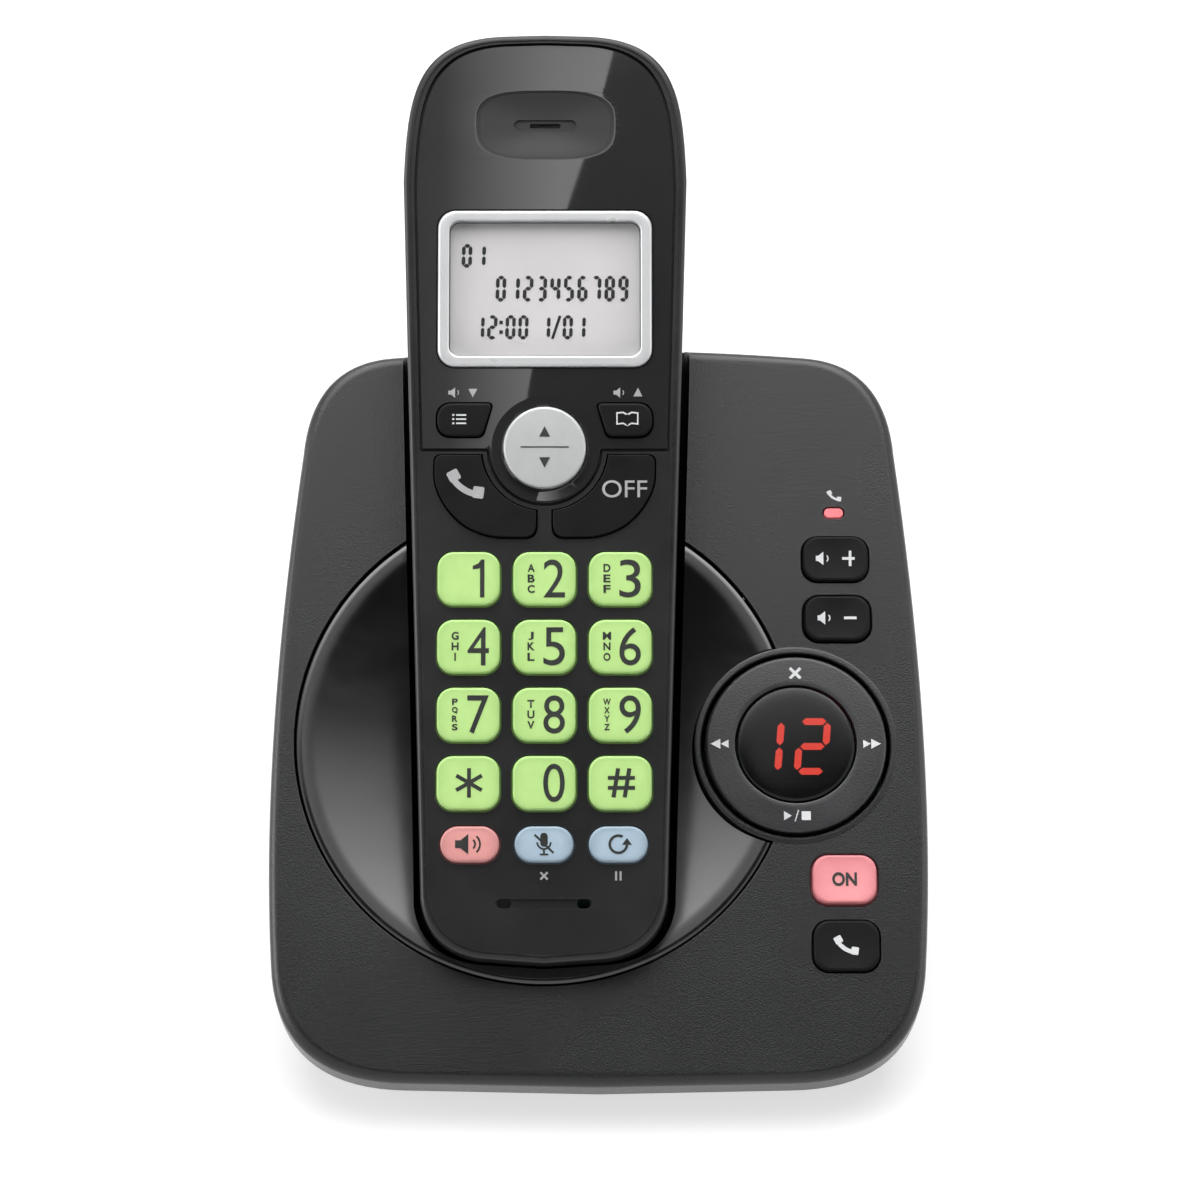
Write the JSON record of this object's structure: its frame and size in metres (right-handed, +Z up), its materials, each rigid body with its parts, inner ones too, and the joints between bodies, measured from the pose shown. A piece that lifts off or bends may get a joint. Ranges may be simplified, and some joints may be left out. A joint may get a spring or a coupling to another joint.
{
  "type": "answering machine",
  "caption": "Black wedge-shaped answering base with a round glossy dish, message window and keys, and a cordless handset standing in its cradle.",
  "frame": {"origin": "under the middle of the whole object, at the level of the surface that it stands on", "axes": "+Z up, +X to the right of a person facing the keys, -Y towards that person"},
  "size_m": [0.1178, 0.1544, 0.129],
  "materials": {
    "matte_black": "fine-grained matte black plastic",
    "gloss_black": "high-gloss black plastic",
    "satin_black": "satin black plastic",
    "key_black": "satin black key plastic",
    "silver": "silver-painted plastic",
    "glow_green": "pale green glowing key plastic",
    "pink": "pink key plastic",
    "blue_grey": "blue-grey key plastic",
    "lens_grey": "pale liquid crystal window",
    "smoke": "dark smoked window plastic",
    "lamp_red": "red lamp plastic",
    "rubber": "dark rubber",
    "board": "green solder-masked board",
    "steel": "bare steel",
    "contact_brass": "plated brass",
    "battery_sleeve": "blue shrink sleeve"
  },
  "bodies": {
    "base": {"base_top_cover": "matte_black", "base_bottom_cover": "matte_black", "cradle_dish": "gloss_black", "power_jack": "key_black", "line_jack": "key_black", "message_window": "smoke", "in_use_lens": "lamp_red", "message_display": "lamp_red", "base_key_mat": "rubber", "rubber_foot_front_left": "rubber", "rubber_foot_front_right": "rubber", "rubber_foot_back_left": "rubber", "rubber_foot_back_right": "rubber", "base_circuit_board": "board", "case_screw_left": "steel", "case_screw_right": "steel", "base_speaker": "steel"},
    "handset": {"handset_front_cover": "satin_black", "handset_back_cover": "satin_black", "faceplate": "gloss_black", "display_frame": "silver", "display_lens": "lens_grey", "lcd_module": "lens_grey", "handset_circuit_board": "board", "handset_key_mat": "rubber", "earpiece_speaker": "steel", "handset_microphone": "steel", "handset_loudspeaker": "steel", "battery_pack": "battery_sleeve", "handset_contact_left": "contact_brass", "handset_contact_right": "contact_brass"},
    "menu_button": {"menu_button": "silver"},
    "call_list_button": {"call_list_button": "key_black"},
    "phonebook_button": {"phonebook_button": "key_black"},
    "talk_button": {"talk_button": "key_black"},
    "off_button": {"off_button": "key_black"},
    "key_1": {"key_1": "glow_green"},
    "key_2": {"key_2": "glow_green"},
    "key_3": {"key_3": "glow_green"},
    "key_4": {"key_4": "glow_green"},
    "key_5": {"key_5": "glow_green"},
    "key_6": {"key_6": "glow_green"},
    "key_7": {"key_7": "glow_green"},
    "key_8": {"key_8": "glow_green"},
    "key_9": {"key_9": "glow_green"},
    "key_star": {"key_star": "glow_green"},
    "key_0": {"key_0": "glow_green"},
    "key_hash": {"key_hash": "glow_green"},
    "speakerphone_button": {"speakerphone_button": "pink"},
    "mute_button": {"mute_button": "blue_grey"},
    "redial_button": {"redial_button": "blue_grey"},
    "volume_up_button": {"volume_up_button": "key_black"},
    "volume_down_button": {"volume_down_button": "key_black"},
    "answer_button": {"answer_button": "pink"},
    "find_handset_button": {"find_handset_button": "key_black"},
    "ring_pad": {"ring_rubber_pad": "rubber"},
    "control_ring": {"control_ring": "satin_black"},
    "battery_door": {"battery_door": "satin_black"},
    "charge_contact_left": {"charge_contact_left": "contact_brass"},
    "charge_contact_right": {"charge_contact_right": "contact_brass"}
  },
  "joints": [
    {"name": "handset_lift", "type": "slide", "parent": "base", "child": "handset", "axis": [0, 0, 1], "range_m": [0, 0.08]},
    {"name": "menu_button_press", "type": "slide", "parent": "handset", "child": "menu_button", "axis": [0, 0.6157, -0.788], "range_m": [0, 0.001], "stiffness_N_per_m": 1000, "springref_m": -0.0005},
    {"name": "call_list_button_press", "type": "slide", "parent": "handset", "child": "call_list_button", "axis": [0, 0.6157, -0.788], "range_m": [0, 0.001], "stiffness_N_per_m": 1000, "springref_m": -0.0005},
    {"name": "phonebook_button_press", "type": "slide", "parent": "handset", "child": "phonebook_button", "axis": [0, 0.6157, -0.788], "range_m": [0, 0.001], "stiffness_N_per_m": 1000, "springref_m": -0.0005},
    {"name": "talk_button_press", "type": "slide", "parent": "handset", "child": "talk_button", "axis": [0, 0.6157, -0.788], "range_m": [0, 0.001], "stiffness_N_per_m": 1000, "springref_m": -0.0005},
    {"name": "off_button_press", "type": "slide", "parent": "handset", "child": "off_button", "axis": [0, 0.6157, -0.788], "range_m": [0, 0.001], "stiffness_N_per_m": 1000, "springref_m": -0.0005},
    {"name": "key_1_press", "type": "slide", "parent": "handset", "child": "key_1", "axis": [0, 0.6157, -0.788], "range_m": [0, 0.001], "stiffness_N_per_m": 1000, "springref_m": -0.0005},
    {"name": "key_2_press", "type": "slide", "parent": "handset", "child": "key_2", "axis": [0, 0.6157, -0.788], "range_m": [0, 0.001], "stiffness_N_per_m": 1000, "springref_m": -0.0005},
    {"name": "key_3_press", "type": "slide", "parent": "handset", "child": "key_3", "axis": [0, 0.6157, -0.788], "range_m": [0, 0.001], "stiffness_N_per_m": 1000, "springref_m": -0.0005},
    {"name": "key_4_press", "type": "slide", "parent": "handset", "child": "key_4", "axis": [0, 0.6157, -0.788], "range_m": [0, 0.001], "stiffness_N_per_m": 1000, "springref_m": -0.0005},
    {"name": "key_5_press", "type": "slide", "parent": "handset", "child": "key_5", "axis": [0, 0.6157, -0.788], "range_m": [0, 0.001], "stiffness_N_per_m": 1000, "springref_m": -0.0005},
    {"name": "key_6_press", "type": "slide", "parent": "handset", "child": "key_6", "axis": [0, 0.6157, -0.788], "range_m": [0, 0.001], "stiffness_N_per_m": 1000, "springref_m": -0.0005},
    {"name": "key_7_press", "type": "slide", "parent": "handset", "child": "key_7", "axis": [0, 0.6157, -0.788], "range_m": [0, 0.001], "stiffness_N_per_m": 1000, "springref_m": -0.0005},
    {"name": "key_8_press", "type": "slide", "parent": "handset", "child": "key_8", "axis": [0, 0.6157, -0.788], "range_m": [0, 0.001], "stiffness_N_per_m": 1000, "springref_m": -0.0005},
    {"name": "key_9_press", "type": "slide", "parent": "handset", "child": "key_9", "axis": [0, 0.6157, -0.788], "range_m": [0, 0.001], "stiffness_N_per_m": 1000, "springref_m": -0.0005},
    {"name": "key_star_press", "type": "slide", "parent": "handset", "child": "key_star", "axis": [0, 0.6157, -0.788], "range_m": [0, 0.001], "stiffness_N_per_m": 1000, "springref_m": -0.0005},
    {"name": "key_0_press", "type": "slide", "parent": "handset", "child": "key_0", "axis": [0, 0.6157, -0.788], "range_m": [0, 0.001], "stiffness_N_per_m": 1000, "springref_m": -0.0005},
    {"name": "key_hash_press", "type": "slide", "parent": "handset", "child": "key_hash", "axis": [0, 0.6157, -0.788], "range_m": [0, 0.001], "stiffness_N_per_m": 1000, "springref_m": -0.0005},
    {"name": "speakerphone_button_press", "type": "slide", "parent": "handset", "child": "speakerphone_button", "axis": [0, 0.6157, -0.788], "range_m": [0, 0.001], "stiffness_N_per_m": 1000, "springref_m": -0.0005},
    {"name": "mute_button_press", "type": "slide", "parent": "handset", "child": "mute_button", "axis": [0, 0.6157, -0.788], "range_m": [0, 0.001], "stiffness_N_per_m": 1000, "springref_m": -0.0005},
    {"name": "redial_button_press", "type": "slide", "parent": "handset", "child": "redial_button", "axis": [0, 0.6157, -0.788], "range_m": [0, 0.001], "stiffness_N_per_m": 1000, "springref_m": -0.0005},
    {"name": "volume_up_button_press", "type": "slide", "parent": "base", "child": "volume_up_button", "axis": [0, 0.5, -0.866], "range_m": [0, 0.0009], "stiffness_N_per_m": 1200, "springref_m": -0.0005},
    {"name": "volume_down_button_press", "type": "slide", "parent": "base", "child": "volume_down_button", "axis": [0, 0.5, -0.866], "range_m": [0, 0.0009], "stiffness_N_per_m": 1200, "springref_m": -0.0005},
    {"name": "answer_button_press", "type": "slide", "parent": "base", "child": "answer_button", "axis": [0, 0.5, -0.866], "range_m": [0, 0.0009], "stiffness_N_per_m": 1200, "springref_m": -0.0005},
    {"name": "find_handset_button_press", "type": "slide", "parent": "base", "child": "find_handset_button", "axis": [0, 0.5, -0.866], "range_m": [0, 0.0009], "stiffness_N_per_m": 1200, "springref_m": -0.0005},
    {"name": "ring_rock_up_down", "type": "hinge", "parent": "base", "child": "ring_pad", "pos_m": [0.0354, -0.02431, 0.04095], "axis": [1, 0, 0], "range_deg": [-3, 3], "stiffness_Nm_per_rad": 0.3},
    {"name": "ring_rock_left_right", "type": "hinge", "parent": "ring_pad", "child": "control_ring", "pos_m": [0.0354, -0.02431, 0.04095], "axis": [0, 0.866, 0.5], "range_deg": [-3, 3], "stiffness_Nm_per_rad": 0.3},
    {"name": "charge_contact_left_press", "type": "slide", "parent": "base", "child": "charge_contact_left", "axis": [0, 0.6157, -0.788], "range_m": [0, 0.001], "stiffness_N_per_m": 800, "springref_m": -0.0003},
    {"name": "charge_contact_right_press", "type": "slide", "parent": "base", "child": "charge_contact_right", "axis": [0, 0.6157, -0.788], "range_m": [0, 0.001], "stiffness_N_per_m": 800, "springref_m": -0.0003},
    {"name": "battery_door_slide", "type": "slide", "parent": "handset", "child": "battery_door", "axis": [0, -0.788, -0.6157], "range_m": [0, 0.0035]}
  ]
}
